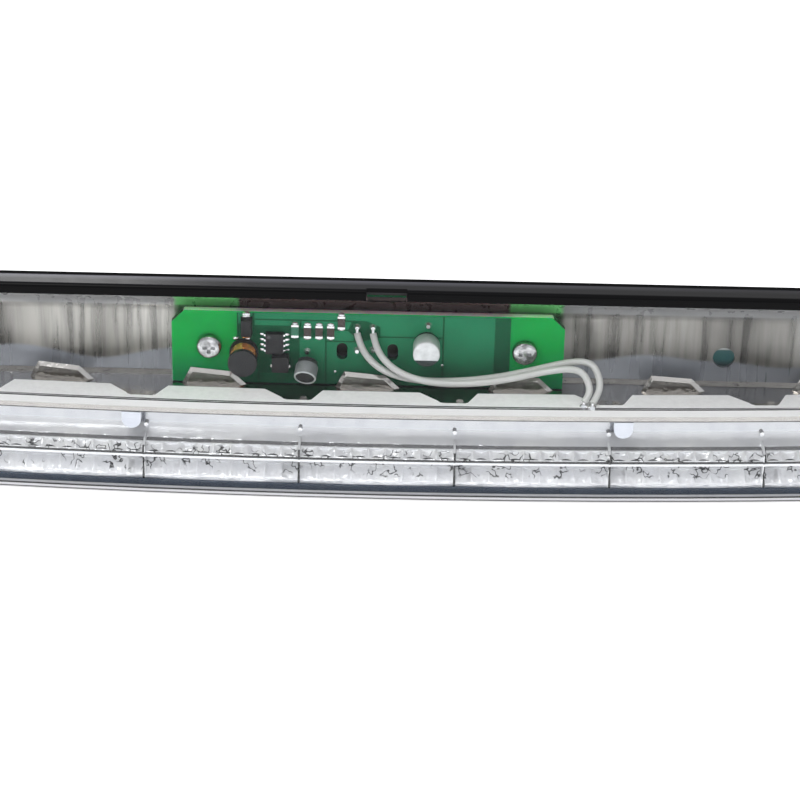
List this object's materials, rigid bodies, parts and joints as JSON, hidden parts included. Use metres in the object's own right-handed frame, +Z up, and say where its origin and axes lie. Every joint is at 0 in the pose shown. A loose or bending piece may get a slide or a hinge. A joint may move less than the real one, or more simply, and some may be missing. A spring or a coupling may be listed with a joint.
{
  "type": "daytime running light",
  "caption": "Long bowed daytime running light bar: clear lens over a metallised reflector, LED board and green driver board, in a black housing with rear bosses.",
  "frame": {"origin": "middle of the lamp's base", "axes": "+X along the lamp, -Y to the lens front, +Z up"},
  "size_m": [0.275, 0.0324, 0.0482],
  "materials": {
    "housing_black": "moulded black, gloss rim",
    "lens_clear": "clear moulded plastic",
    "seal_rubber": "matt",
    "reflector_chrome": "vacuum metallised plastic",
    "led_board_white": "white solder mask on aluminium",
    "led_package": "white package, yellow phosphor",
    "pcb_green": "green solder mask",
    "screw_steel": "bright zinc",
    "ferrite": "dark ferrite",
    "copper_wire": "enamelled copper",
    "chip_black": "moulded epoxy",
    "solder_tin": "bright solder",
    "can_grey": "grey sleeve",
    "can_silver": "bare can, printed end",
    "chip_part": "resistor black with tinned ends",
    "ceramic_tan": "tan ceramic with tinned ends",
    "lead_white": "white insulation",
    "lead_red": "red insulation",
    "lead_black": "black insulation",
    "pin_tin": "tinned brass",
    "plug_green": "dark green rubber",
    "insert_brass": "turned brass"
  },
  "bodies": {
    "root": {"rear_housing": "housing_black", "outer_lens": "lens_clear", "lens_seal": "seal_rubber", "back_reflector": "reflector_chrome", "reflector_bank": "reflector_chrome", "led_board": "led_board_white", "leds": "led_package", "driver_board": "pcb_green", "board_screws": "screw_steel", "reflector_screws": "screw_steel", "inductor_core": "ferrite", "inductor_winding": "copper_wire", "driver_chip": "chip_black", "chip_leads": "solder_tin", "rectifier_diode": "chip_black", "diode_feet": "solder_tin", "filter_choke": "ferrite", "input_capacitor": "can_grey", "output_capacitor": "can_silver", "chip_resistors": "chip_part", "ceramic_capacitor": "ceramic_tan", "solder_joints": "solder_tin", "led_lead_a": "lead_white", "led_lead_b": "lead_white", "supply_lead_a": "lead_red", "supply_lead_b": "lead_black", "socket_pins": "pin_tin", "mount_inserts": "insert_brass", "vent_cap": "seal_rubber", "hole_plug": "plug_green"}
  },
  "joints": []
}
